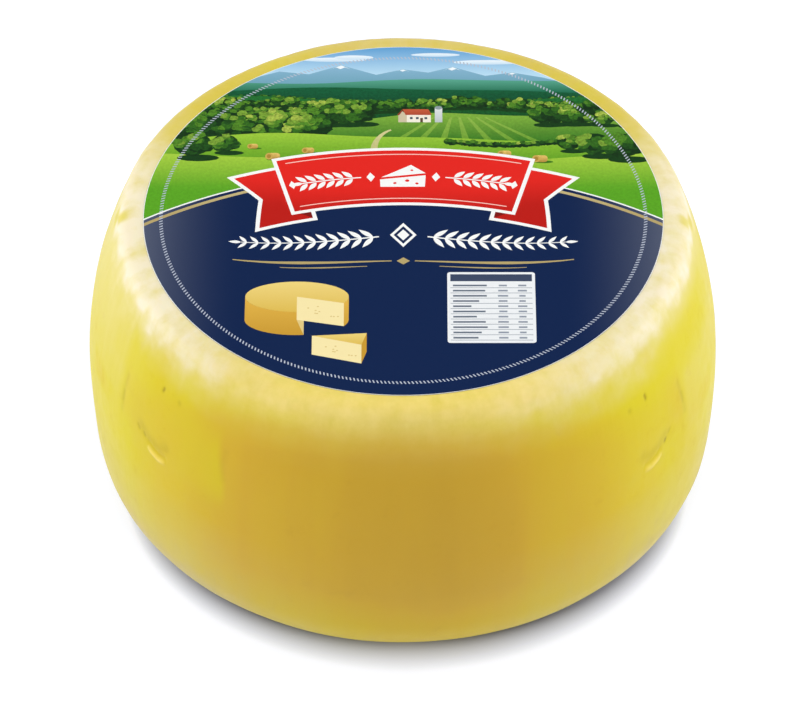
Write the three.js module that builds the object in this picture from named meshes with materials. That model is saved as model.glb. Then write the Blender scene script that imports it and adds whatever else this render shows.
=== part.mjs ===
// A whole wheel of reggianito, a hard grating cheese, in its yellow brushed-on coating, with a round
// printed label stuck on its flat top. Millimetres, +Z up. The origin is the middle of the flat
// underside, and the wheel's axis is Z. -Y is the front, the side that the label's print faces.
import * as THREE from "three";

// The wheel's main sizes. It has sunk a little under its own weight, so its widest ring is below the
// middle, and the foot is drawn in further than the shoulder.
const WIDEST_RADIUS = 125;
const SHOULDER_RADIUS = 8; // the tight turn from the flat top into the side
const UPPER_BELLY_RADIUS = 185; // the side's long curve above the widest ring
const LOWER_BELLY_RADIUS = 322; // and below it
const FOOT_RADIUS = 28; // the turn from the side into the flat underside
const SHOULDER_ANGLE = THREE.MathUtils.degToRad(21.3); // how far the side leans in where the shoulder starts
const FOOT_ANGLE = THREE.MathUtils.degToRad(5.7); // how far it leans in where the foot starts

// The label, a disc of laminated paper.
const LABEL_RADIUS = 102;
const LABEL_THICKNESS = 0.4;

// How finely the round shapes are cut into facets.
const AROUND = 120;
const STEPS = { foot: 9, lowerBelly: 5, upperBelly: 6, shoulder: 5, flat: 2 };

// Hand-made unevenness: slow waves round the side, as [waves in a turn, amplitude, phase], and the
// shallow places where hands and shelf pressed the young cheese.
const WAVES = [
  [2, 0.35, 0.6],
  [3, 0.25, 2.1],
  [5, 0.18, 4.0],
  [8, 0.1, 1.3],
];
const DENTS = [
  { angle: -144, height: 70, wide: 17, tall: 19, depth: 0.9 }, // front left
  { angle: -36, height: 70, wide: 17, tall: 19, depth: 0.9 }, // front right
  { angle: 62, height: 58, wide: 24, tall: 15, depth: 0.8 }, // back right
  { angle: 128, height: 84, wide: 20, tall: 14, depth: 0.7 }, // back left
];

// One arc of the side's outline, from one lean of its outward normal to another, both in radians above
// the horizontal. It starts where `from` is and stays tangent to what came before.
function arc(from, radius, startNormal, endNormal, steps) {
  const points = [];
  for (let i = 1; i <= steps; i++) {
    const normal = THREE.MathUtils.lerp(startNormal, endNormal, i / steps);
    points.push(
      new THREE.Vector2(
        from.x + radius * (Math.cos(normal) - Math.cos(startNormal)),
        from.y + radius * (Math.sin(normal) - Math.sin(startNormal)),
      ),
    );
  }
  return points;
}

// The half outline of the wheel, from the middle of its underside to the middle of its top: four tangent
// arcs between two flats.
function wheelOutline() {
  const quarter = Math.PI / 2;
  const underside =
    WIDEST_RADIUS -
    LOWER_BELLY_RADIUS * (1 - Math.cos(FOOT_ANGLE)) -
    FOOT_RADIUS * Math.cos(FOOT_ANGLE);
  const outline = [];
  for (let i = 0; i <= STEPS.flat; i++)
    outline.push(new THREE.Vector2((underside * i) / STEPS.flat, 0));
  const turns = [
    [FOOT_RADIUS, -quarter, -FOOT_ANGLE, STEPS.foot],
    [LOWER_BELLY_RADIUS, -FOOT_ANGLE, 0, STEPS.lowerBelly],
    [UPPER_BELLY_RADIUS, 0, SHOULDER_ANGLE, STEPS.upperBelly],
    [SHOULDER_RADIUS, SHOULDER_ANGLE, quarter, STEPS.shoulder],
  ];
  for (const [radius, start, end, steps] of turns)
    outline.push(...arc(outline.at(-1), radius, start, end, steps));
  const rim = outline.at(-1);
  for (let i = STEPS.flat - 1; i >= 0; i--)
    outline.push(new THREE.Vector2((rim.x * i) / STEPS.flat, rim.y));
  return outline;
}

// How far the side stands out from its true outline at a place on it. It dies away towards both flats,
// which stay level.
function unevenness(angle, height, wheelHeight) {
  let offset = 0;
  for (const [count, amplitude, phase] of WAVES)
    offset += amplitude * Math.cos(count * angle + phase);
  for (const dent of DENTS) {
    const turn = angle - THREE.MathUtils.degToRad(dent.angle);
    const across =
      Math.atan2(Math.sin(turn), Math.cos(turn)) * WIDEST_RADIUS;
    const spread =
      (across / dent.wide) ** 2 + ((height - dent.height) / dent.tall) ** 2;
    offset -= dent.depth * Math.exp(-spread);
  }
  const share = height / wheelHeight;
  return offset * Math.min(1, 6 * share * (1 - share)) ** 2;
}

function makeWheel(outline) {
  const height = outline.at(-1).y;
  const geometry = new THREE.LatheGeometry(outline, AROUND);
  geometry.rotateX(Math.PI / 2); // the lathe turns about Y, and the wheel stands on Z
  const places = geometry.getAttribute("position");
  const place = new THREE.Vector3();
  for (let i = 0; i < places.count; i++) {
    place.fromBufferAttribute(places, i);
    const radius = Math.hypot(place.x, place.y);
    const onSide = place.z > 0 && place.z < height;
    if (!onSide || radius === 0) continue;
    const angle = Math.atan2(place.y, place.x);
    const grown = 1 + unevenness(angle, place.z, height) / radius;
    places.setXYZ(i, place.x * grown, place.y * grown, place.z);
  }
  const coating = new THREE.MeshStandardMaterial({
    color: 0xe3cc57,
    roughness: 0.45,
    metalness: 0,
  });
  const wheel = new THREE.Mesh(geometry, coating);
  wheel.name = "cheese_wheel";
  return wheel;
}

function makeLabel() {
  const outline = [
    new THREE.Vector2(0, 0),
    new THREE.Vector2(LABEL_RADIUS, 0),
    new THREE.Vector2(LABEL_RADIUS, LABEL_THICKNESS),
    new THREE.Vector2(0, LABEL_THICKNESS),
  ];
  const geometry = new THREE.LatheGeometry(outline, AROUND);
  geometry.rotateX(Math.PI / 2);
  const print = new THREE.MeshStandardMaterial({
    color: 0x16284f,
    roughness: 0.35,
    metalness: 0,
  });
  const label = new THREE.Mesh(geometry, print);
  label.name = "top_label";
  return label;
}

const outline = wheelOutline();
const label = makeLabel();
label.position.z = outline.at(-1).y;

const cheese = new THREE.Group();
cheese.add(makeWheel(outline), label);

export default cheese;
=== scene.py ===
"""A whole wheel of reggianito on a pale studio floor: the coated cheese and the printed label on its top.

Shapes are worked out in millimetres and put into the meshes in metres. +Z is up, the origin is the middle of
the flat underside, and -Y is the front. A turn is an angle round the wheel in degrees from the front,
positive towards +X.
"""

import logging
import math
from abc import ABC, abstractmethod
from dataclasses import dataclass, field
from enum import Enum

import bpy
import numpy as np
from mathutils import Matrix, Vector
from mathutils.geometry import delaunay_2d_cdt


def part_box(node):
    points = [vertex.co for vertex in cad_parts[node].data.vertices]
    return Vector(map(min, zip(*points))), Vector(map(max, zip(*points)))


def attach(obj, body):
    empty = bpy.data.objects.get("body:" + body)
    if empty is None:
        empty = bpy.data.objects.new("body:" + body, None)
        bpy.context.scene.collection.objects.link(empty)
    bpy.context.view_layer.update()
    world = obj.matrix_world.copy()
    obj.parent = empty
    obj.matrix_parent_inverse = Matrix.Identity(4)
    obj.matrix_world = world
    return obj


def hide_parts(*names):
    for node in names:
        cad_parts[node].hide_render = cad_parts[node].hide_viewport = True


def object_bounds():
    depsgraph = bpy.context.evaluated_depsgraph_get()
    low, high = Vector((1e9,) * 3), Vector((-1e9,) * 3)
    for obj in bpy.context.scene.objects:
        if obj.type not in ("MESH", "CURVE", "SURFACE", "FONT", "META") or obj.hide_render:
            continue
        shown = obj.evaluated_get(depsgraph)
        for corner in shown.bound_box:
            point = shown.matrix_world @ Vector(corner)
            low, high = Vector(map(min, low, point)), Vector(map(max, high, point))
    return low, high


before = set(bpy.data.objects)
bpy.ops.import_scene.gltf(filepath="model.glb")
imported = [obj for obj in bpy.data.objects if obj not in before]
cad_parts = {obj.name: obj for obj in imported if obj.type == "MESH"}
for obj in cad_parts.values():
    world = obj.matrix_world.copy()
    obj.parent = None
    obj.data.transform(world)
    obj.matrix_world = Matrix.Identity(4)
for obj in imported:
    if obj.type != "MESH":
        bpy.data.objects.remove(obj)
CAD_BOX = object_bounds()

log = logging.getLogger("cheese")

Array = np.ndarray
Tree = bpy.types.NodeTree
Socket = bpy.types.NodeSocket

MM = 0.001  # a millimetre in metres
IMAGE_SIZE = (800, 704)
NOISE_RANGE = {"From Min": 0.3, "From Max": 0.7}  # nearly all of a noise texture's values


def linear(hex_colour: str) -> tuple[float, float, float, float]:
    """Turns an sRGB colour into linear light.

    Args:
        hex_colour: the colour as "#rrggbb".

    Returns:
        Red, green and blue in linear light, and 1 for alpha.
    """
    coded = np.array([int(hex_colour[i : i + 2], 16) for i in (1, 3, 5)]) / 255
    light = np.where(coded <= 0.04045, coded / 12.92, ((coded + 0.055) / 1.055) ** 2.4)
    return (*light.tolist(), 1.0)


def per_metre(size: float) -> float:
    """Gives the texture scale that makes features of this many millimetres."""
    return 1 / (size * MM)


def add_node(tree: Tree, kind: str, inputs: dict, out: str | int = 0, **settings: object) -> Socket | None:
    """Adds one node with its settings and links.

    Args:
        tree: the node tree of a material or the world.
        kind: the node's type name in Blender, without the ShaderNode that it starts with.
        inputs: for a socket's name or number, its value or the output that is linked to it.
        out: the name or number of the output that is given back.
        **settings: the node's own properties.

    Returns:
        That output, or nothing from a node without outputs.
    """
    node = tree.nodes.new(f"ShaderNode{kind}")
    for name, value in settings.items():
        setattr(node, name, value)
    for key, value in inputs.items():
        if isinstance(value, Socket):
            tree.links.new(value, node.inputs[key])
        else:
            node.inputs[key].default_value = value
    return node.outputs[out] if node.outputs else None


def mesh_object(name: str, places: Array, faces: list[Array]) -> bpy.types.Object:
    """Makes a smooth-shaded mesh object from whole arrays.

    Args:
        name: the piece's name.
        places: the vertices in millimetres, one a row.
        faces: blocks of faces, each block with a fixed number of corners: vertex numbers, one face a row.

    Returns:
        The object, at the origin and in the scene.
    """
    mesh = bpy.data.meshes.new(name)
    corners = np.concatenate([block.ravel() for block in faces])
    sizes = np.concatenate([np.full(len(block), block.shape[1]) for block in faces])
    mesh.vertices.add(len(places))
    mesh.vertices.foreach_set("co", (places * MM).astype(np.float32).ravel())
    mesh.loops.add(len(corners))
    mesh.loops.foreach_set("vertex_index", corners.astype(np.int32))
    mesh.polygons.add(len(sizes))
    mesh.polygons.foreach_set("loop_start", (np.cumsum(sizes) - sizes).astype(np.int32))
    mesh.polygons.foreach_set("use_smooth", np.ones(len(sizes), bool))
    mesh.update(calc_edges=True)
    piece = bpy.data.objects.new(name, mesh)
    bpy.context.scene.collection.objects.link(piece)
    return piece


def set_attribute(piece: bpy.types.Object, name: str, kind: str, domain: str, values: Array) -> None:
    """Writes an array into a new attribute of a mesh.

    Args:
        piece: the mesh object.
        name: the attribute's name.
        kind: FLOAT, FLOAT_VECTOR or FLOAT_COLOR.
        domain: POINT or CORNER.
        values: one row for each point or corner.
    """
    key = {"FLOAT": "value", "FLOAT_VECTOR": "vector", "FLOAT_COLOR": "color"}[kind]
    attribute = piece.data.attributes.new(name, kind, domain)
    attribute.data.foreach_set(key, values.astype(np.float32).ravel())


def aside(turn: Array, middle: float) -> Array:
    """Gives how far each turn is from a middle one, from -180 to 180 degrees."""
    return (turn - middle + 180) % 360 - 180


def bell(way: Array, reach: float, power: int = 2) -> Array:
    """Gives e to the minus of way over reach to an even power: 2 makes a bell curve, 4 a flat-topped one."""
    return np.exp(-((way / reach) ** power))


@dataclass(frozen=True)
class Ramp:
    """A value that runs straight from each stop to the next: where the stops are, and what it is there."""

    stops: tuple[float, ...]
    values: tuple[float, ...]

    def at(self, place: Array) -> Array:
        """Reads the value at every place."""
        return np.interp(place, self.stops, self.values)


@dataclass(frozen=True)
class Lattice:
    """Smooth random relief: a random slope at each point of a cubic lattice, blended in between."""

    seed: int
    count: int = 256  # how many different slopes there are
    gain: float = 1.6  # brings the highest and lowest places near to 1 and -1

    def at(self, places: Array, size: float) -> Array:
        """Reads the relief at many places.

        The eight lattice points round a place each give their slope times the way from them to it, and these
        heights are blended by 6t^5 - 15t^4 + 10t^3 along each axis.

        Args:
            places: the places in millimetres, one a row.
            size: the lattice's spacing in millimetres, about the width of one hump or hollow.

        Returns:
            One height a place, between about -1 and 1.
        """
        rng = np.random.default_rng(self.seed)
        order = rng.permutation(self.count)
        slopes = rng.normal(size=(self.count, 3))
        slopes /= np.linalg.norm(slopes, axis=1, keepdims=True)
        scaled = places / size
        cell = np.floor(scaled).astype(int)
        inside = scaled - cell
        ease = inside**3 * (inside * (inside * 6 - 15) + 10)
        height = np.zeros(len(places))
        for step in np.ndindex(2, 2, 2):
            key = np.zeros(len(places), int)
            for axis in (2, 1, 0):
                key = order[(cell[:, axis] + step[axis] + key) % self.count]
            slope = np.einsum("ij,ij->i", slopes[key], inside - step)
            height += slope * np.prod(np.where(np.array(step) == 1, ease, 1 - ease), axis=1)
        return height * self.gain


@dataclass(frozen=True)
class Finish(ABC):
    """A real material and how it was made, and what that gives the eye."""

    name: str

    def material(self) -> bpy.types.Material:
        """Builds the material, whose one shader the finish feeds.

        Returns:
            The material.
        """
        material = bpy.data.materials.new(self.name)
        material.use_nodes = True
        tree = material.node_tree
        tree.nodes.clear()
        feeds = self.feeds(tree, add_node(tree, "TexCoord", {}, "Object"))
        add_node(tree, "OutputMaterial", {"Surface": add_node(tree, "BsdfPrincipled", feeds)})
        return material

    @abstractmethod
    def feeds(self, tree: Tree, objects: Socket) -> dict:
        """Says what feeds the shader.

        Args:
            tree: the material's node tree.
            objects: the Object coordinates.

        Returns:
            For each of the shader's inputs, its value or the output that is linked to it.
        """


@dataclass(frozen=True)
class CheeseCoating(Finish):
    """Polyvinyl acetate cheese coating, coloured yellow and brushed on in several coats.

    To the eye it is a satin skin with some depth, like wax: lemon where it is thin, ochre where it is thick
    round the belly, with the brush's faint streaks in it. Painted light lies over it: a straw painted
    reflection of the pale floor towards the foot, a butter-yellow painted highlight over the shoulder in
    front and a cream painted highlight of the side softboxes at its sides. Painted shade darkens the
    creases, the label's edge in front, and in part the belly's ochre in front.
    """

    name: str = "polyvinyl acetate cheese coating, brushed on"
    lemon: str = "#d8c814"
    # ochre: the thick coating's own colour; in front of the belly it is partly painted shade
    ochre: str = "#d4aa2c"
    # straw: painted reflection of the pale floor at the foot, and a faint straw tone behind
    straw: str = "#cdba6a"
    # butter: painted highlight of the top light over the front shoulder and on the creases' lips
    butter: str = "#fae17a"
    # cream: painted highlight of the side softboxes over the shoulder's sides and flanks
    cream: str = "#f0e5c6"
    thick: str = "#be932c"
    # the colour of painted shade in the creases and along the label's edge in front
    painted_shade: str = "#957a00"
    ior: float = 1.47
    specular: float = 0.17  # less than a clean film's, because handling has dulled it
    smoothest: float = 0.36
    roughest: float = 0.52
    translucence: float = 0.15
    depth: float = 5.0  # mm, how far light spreads in it
    depths: tuple[float, float, float] = (1.0, 0.7, 0.25)  # the share of that for red, green and blue
    patch: float = 34.0  # mm, across a patch of thicker coating
    mottle: float = 8.0  # mm, across a mottle of the rubbed shoulder
    streak: float = 4.5  # mm, between the brush's streaks
    grain: float = 1.4  # mm, across the grain; the real one is finer and would not show in the render
    relief: float = 0.2  # mm, how high the streaks are
    graininess: float = 0.3  # how high the grain is for that

    def feeds(self, tree: Tree, objects: Socket) -> dict:
        """Feeds the shader from Object coordinates and the rind's own attributes.

        Args:
            tree: the material's node tree.
            objects: the Object coordinates.

        Returns:
            The shader's inputs.
        """
        unrolled = add_node(tree, "Attribute", {}, "Vector", attribute_name="unrolled")
        kinds = (
            (objects, self.mottle, 5.0, 0.62),
            (unrolled, self.streak, 3.0, 0.5),
            (unrolled, self.patch, 3.0, 0.5),
            (objects, self.grain, 2.0, 0.5),
        )
        noises = []
        for places, size, detail, rough in kinds:
            inputs = {"Vector": places, "Scale": per_metre(size), "Detail": detail, "Roughness": rough}
            noises.append(add_node(tree, "TexNoise", inputs))
        mottles, streaks, patches, grains = noises
        colour = linear(self.lemon)
        for share, shade in self.layers(tree, mottles, streaks, patches):
            inputs = {0: share, 6: colour, 7: linear(shade)}
            colour = add_node(tree, "Mix", inputs, 2, data_type="RGBA")
        inputs = {"Value": mottles, **NOISE_RANGE, "To Min": self.smoothest, "To Max": self.roughest}
        rough = add_node(tree, "MapRange", inputs)
        inputs = {0: grains, 1: self.graininess, 2: streaks}
        height = add_node(tree, "Math", inputs, operation="MULTIPLY_ADD")
        inputs = {"Strength": 0.5, "Distance": self.relief * MM, "Height": height}
        return {
            "Base Color": colour,
            "Roughness": rough,
            "IOR": self.ior,
            "Specular IOR Level": self.specular,
            "Normal": add_node(tree, "Bump", inputs),
            "Subsurface Weight": self.translucence,
            "Subsurface Radius": self.depths,
            "Subsurface Scale": self.depth * MM,
        }

    def layers(
        self, tree: Tree, mottles: Socket, streaks: Socket, patches: Socket
    ) -> list[tuple[Socket, str]]:
        """Lists what lies over the lemon: thick coats, partly painted shade in front; the painted floor
        reflection and painted highlights, broken in mottles and streaks; and painted shade.

        Args:
            tree: the material's node tree.
            mottles: noise of the mottles' size.
            streaks: noise of the brush's streaks.
            patches: noise of the thick patches' size.

        Returns:
            The share of each layer and its colour, from the lowest to the uppermost.
        """
        shares = {
            name: add_node(tree, "Attribute", {}, "Fac", attribute_name=name)
            for name in ("belly", "fade_and_reflection", "butter_highlight", "cream_highlight", "shade_share")
        }
        inputs = {0: patches, 1: 0.7, 2: shares["belly"]}
        ragged = add_node(tree, "Math", inputs, operation="MULTIPLY_ADD")
        coats = (
            (ragged, 0.35, 1.3, 1.0, self.ochre),
            (ragged, 1.22, 1.65, 0.5, self.thick),
            (mottles, 0.6, 0.8, 0.22, self.thick),
        )
        layers = []
        for noise, low, high, most, shade in coats:
            inputs = {"Value": noise, "From Min": low, "From Max": high, "To Max": most}
            layers.append((add_node(tree, "MapRange", inputs), shade))
        uneven = add_node(tree, "Math", {0: streaks, 1: 0.4, 2: mottles}, operation="MULTIPLY_ADD")
        uneven = add_node(tree, "Math", {0: uneven, 1: 1.3, 2: 0.09}, operation="MULTIPLY_ADD")
        # painted reflection of the floor, painted highlight in front, painted highlight at the sides
        for name, shade in (("fade_and_reflection", self.straw), ("butter_highlight", self.butter), ("cream_highlight", self.cream)):
            inputs = {0: shares[name], 1: uneven}
            layers.append((add_node(tree, "Math", inputs, operation="MULTIPLY", use_clamp=True), shade))
        # last comes painted shade in the creases and along the label's edge
        return [*layers, (shares["shade_share"], self.painted_shade)]


@dataclass(frozen=True)
class LaminatedPrint(Finish):
    """Label paper, offset printed in full colour, with a thin polypropylene film laminated on it.

    To the eye the film makes the inks deep and gives them a smooth satin shine, with the faint cockle of
    paper that is stuck to an uneven cheese.
    """

    name: str = "label paper, offset printed and film laminated"
    ior: float = 1.46
    specular: float = 0.25  # less than a glossy film's
    roughness: float = 0.34
    leaf: float = 1.2  # mm, across a tuft of printed leaves
    darkest: float = 0.25  # how light a leafy ink is between its leaves
    lightest: float = 1.75  # and on them
    cockle: float = 6.0  # mm, across a ripple of the paper
    relief: float = 0.1  # mm, how high the ripples are

    def feeds(self, tree: Tree, objects: Socket) -> dict:
        """Feeds the shader with the label's ink colours, which noise breaks into leaves where they are leafy.

        Args:
            tree: the material's node tree.
            objects: the Object coordinates.

        Returns:
            The shader's inputs.
        """
        ink = add_node(tree, "Attribute", {}, "Color", attribute_name="ink")
        leafy = add_node(tree, "Attribute", {}, "Fac", attribute_name="leafy")
        inputs = {"Vector": objects, "Scale": per_metre(self.leaf), "Detail": 4.0, "Roughness": 0.65}
        leaves = add_node(tree, "TexNoise", inputs)
        inputs = {"Value": leaves, **NOISE_RANGE, "To Min": self.darkest, "To Max": self.lightest}
        light = add_node(tree, "MapRange", inputs)
        shade = add_node(tree, "Mix", {0: leafy, 2: 1.0, 3: light}, data_type="FLOAT")
        inputs = {"Vector": objects, "Scale": per_metre(self.cockle), "Detail": 3.0}
        ripples = add_node(tree, "TexNoise", inputs)
        inputs = {"Strength": 0.3, "Distance": self.relief * MM, "Height": ripples}
        return {
            "Base Color": add_node(tree, "VectorMath", {0: ink, "Scale": shade}, operation="SCALE"),
            "Roughness": self.roughness,
            "IOR": self.ior,
            "Specular IOR Level": self.specular,
            "Normal": add_node(tree, "Bump", inputs),
        }


@dataclass(frozen=True)
class CutPaper(Finish):
    """Bare label paper where the die cut it.

    To the eye it is a matt grey line: painted shade along the label's edge.
    """

    name: str = "label paper, die cut"
    # white and shade: greys for the painted shade at the label's cut edge
    white: str = "#a9a695"
    shade: str = "#7f7c6e"
    ior: float = 1.5
    roughness: float = 0.8
    fibre: float = 1.0  # mm, across a tuft of fibres, coarser than the real ones so that it shows

    def feeds(self, tree: Tree, objects: Socket) -> dict:
        """Feeds the shader with grey that the fibres fleck.

        Args:
            tree: the material's node tree.
            objects: the Object coordinates.

        Returns:
            The shader's inputs.
        """
        inputs = {"Vector": objects, "Scale": per_metre(self.fibre), "Detail": 3.0}
        inputs = {0: add_node(tree, "TexNoise", inputs), 6: linear(self.white), 7: linear(self.shade)}
        colour = add_node(tree, "Mix", inputs, 2, data_type="RGBA")
        return {"Base Color": colour, "Roughness": self.roughness, "IOR": self.ior}


@dataclass(frozen=True)
class FrostedAcrylic(Finish):
    """White acrylic sheet, frosted, whose glow is painted light. To the eye it is a plain, pale table.

    The glow is held back round the cheese by two discs that overlap, one nearer the front and one nearer
    the back, both pressed together a little from front to back: that gap paints the contact shadow. The glow
    grows over a rim that narrows towards the sides.
    """

    name: str = "white acrylic sheet, frosted"
    white: str = "#aaaec8"
    roughness: float = 0.9
    # the colour of the floor's painted glow
    lamp: str = "#fefffb"
    glow: float = 0.655
    aside: float = 1.2  # mm, how far to the right the discs lie
    ahead: float = 17.7  # mm, how far one lies to the front and the other to the back
    pressed: float = 0.891  # how deep they are for their width
    unlit: float = 97.6  # mm from a disc's middle, where the glow is left out: the painted contact shadow
    lit: float = 119.4  # and where the glow is full: the painted shadow's outer edge
    unlit_gain: float = 0.079  # how much those two grow for each millimetre aside, as far as the farthest
    lit_gain: float = -0.044
    farthest: float = 130.0

    def feeds(self, tree: Tree, objects: Socket) -> dict:
        """Feeds the shader with a glow that rises evenly outwards from the painted shadow in the middle.

        Args:
            tree: the material's node tree.
            objects: the Object coordinates.

        Returns:
            The shader's inputs.
        """
        inputs = {0: objects, 1: (self.aside * MM, 0.0, 0.0)}
        centred = add_node(tree, "VectorMath", inputs, operation="SUBTRACT")
        folded = add_node(tree, "VectorMath", {0: centred}, operation="ABSOLUTE")
        inputs = {0: folded, 1: (1.0, 1 / self.pressed, 1.0)}
        stretched = add_node(tree, "VectorMath", inputs, operation="MULTIPLY")
        inputs = {0: stretched, 1: (0.0, self.ahead / self.pressed * MM, 0.0)}
        apart = add_node(tree, "VectorMath", inputs, "Value", operation="DISTANCE")
        inputs = {0: add_node(tree, "SeparateXYZ", {0: folded}), 1: self.farthest * MM}
        side = add_node(tree, "Math", inputs, operation="MINIMUM")
        limits = {}
        edges = (("From Min", self.unlit, self.unlit_gain), ("From Max", self.lit, self.lit_gain))
        for name, start, gain in edges:
            inputs = {0: side, 1: gain, 2: start * MM}
            limits[name] = add_node(tree, "Math", inputs, operation="MULTIPLY_ADD")
        # the glow is painted light, and its gap round the cheese a painted contact shadow
        return {
            "Base Color": linear(self.white),
            "Roughness": self.roughness,
            "Specular IOR Level": 0.0,
            "Emission Color": linear(self.lamp),
            "Emission Strength": add_node(tree, "MapRange", {"Value": apart, **limits, "To Max": self.glow}),
        }


@dataclass(frozen=True)
class Wave:
    """A slow wave round the side: how many in a full turn, its height in millimetres, and its phase."""

    count: int
    height: float
    phase: float


@dataclass(frozen=True)
class Dent:
    """A shallow place where hand or shelf pressed the young cheese: its turn, and sizes in millimetres."""

    turn: float
    height: float
    wide: float
    tall: float
    depth: float


@dataclass(frozen=True)
class Crease:
    """A line pressed into the rind: its path as turns and heights, its sizes in millimetres, and its painted
    shade.
    """

    path: tuple[tuple[float, float], ...]
    width: float
    depth: float
    # lip: its height in mm, which also sets the painted highlight on it
    lip: float
    painted_shade: float
    lip_middle: float = 1.6  # widths from the path
    lip_spread: float = 0.7  # widths, and the painted shade's too

    def nearest(self, turn: Array, height: Array, radius: float) -> tuple[Array, Array, Array]:
        """Finds the nearest place of the path for each place on the side.

        Args:
            turn: turns in degrees.
            height: heights in millimetres.
            radius: the side's radius.

        Returns:
            How far away it is, more than 0 where the path lies above, and its share of the path's length.
        """
        nearest, below, along = np.full(turn.shape, np.inf), np.zeros(turn.shape), np.zeros(turn.shape)
        steps = len(self.path) - 1
        for step, ((start, low), (end, high)) in enumerate(zip(self.path[:-1], self.path[1:])):
            across, up = np.radians(aside(turn, start)) * radius, height - low
            run, rise = math.radians(end - start) * radius, high - low
            length = math.hypot(run, rise)
            share = np.clip((across * run + up * rise) / length**2, 0, 1)
            apart = np.hypot(across - share * run, up - share * rise)
            side = (across * rise - up * run) * math.copysign(1 / length, run)
            below = np.where(apart < nearest, side, below)
            along = np.where(apart < nearest, (step + share) / steps, along)
            nearest = np.minimum(nearest, apart)
        return nearest, below, along


@dataclass(frozen=True)
class ThickPlace:
    """A broad domed place of thick coating.

    It thins sideways in two steps, and over its upper edge, a parabola that sinks away from its crown.
    """

    turn: float
    crown: float  # mm, where its upper edge is highest
    steps: tuple[float, float, float]  # degrees from its turn where it is full, less and none
    shares: tuple[float, float, float] = (1, 0.72, 0)  # and how thick it is there
    sunk: float = 11.0  # mm that its edge has sunk by the second step
    last: float = 1.8  # second steps, from where its edge is level
    over: Ramp = Ramp((-10, 0, 5, 12), (1, 0.72, 0.3, 0.1))  # its thinning over that edge

    def at(self, turn: Array, height: Array) -> Array:
        """Gives how thick it is.

        Args:
            turn: turns in degrees.
            height: heights in millimetres.

        Returns:
            The share of thick coating from 0 to 1.
        """
        apart = np.abs(aside(turn, self.turn))
        edge = self.crown - self.sunk * np.minimum(apart / self.steps[1], self.last) ** 2
        return np.interp(apart, self.steps, self.shares) * self.over.at(height - edge)


@dataclass(frozen=True)
class Strip:
    """An upright strip of the side: its strength at each turn, its middle's height, and half its height."""

    around: Ramp
    level: float
    tall: float

    def at(self, turn: Array, height: Array) -> Array:
        """Gives how strong it is at each turn and height."""
        return self.around.at(turn) * bell(height - self.level, self.tall, 4)


@dataclass(frozen=True)
class Spot:
    """A soft-edged spot on the side: its place, half width in degrees, half height and strength."""

    turn: float
    level: float
    wide: float
    tall: float
    strength: float
    power: int = 4  # of its two bell curves

    def at(self, turn: Array, height: Array) -> Array:
        """Gives how strong it is at each turn and height."""
        across = bell(aside(turn, self.turn), self.wide, self.power)
        return self.strength * across * bell(height - self.level, self.tall, self.power)


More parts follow.
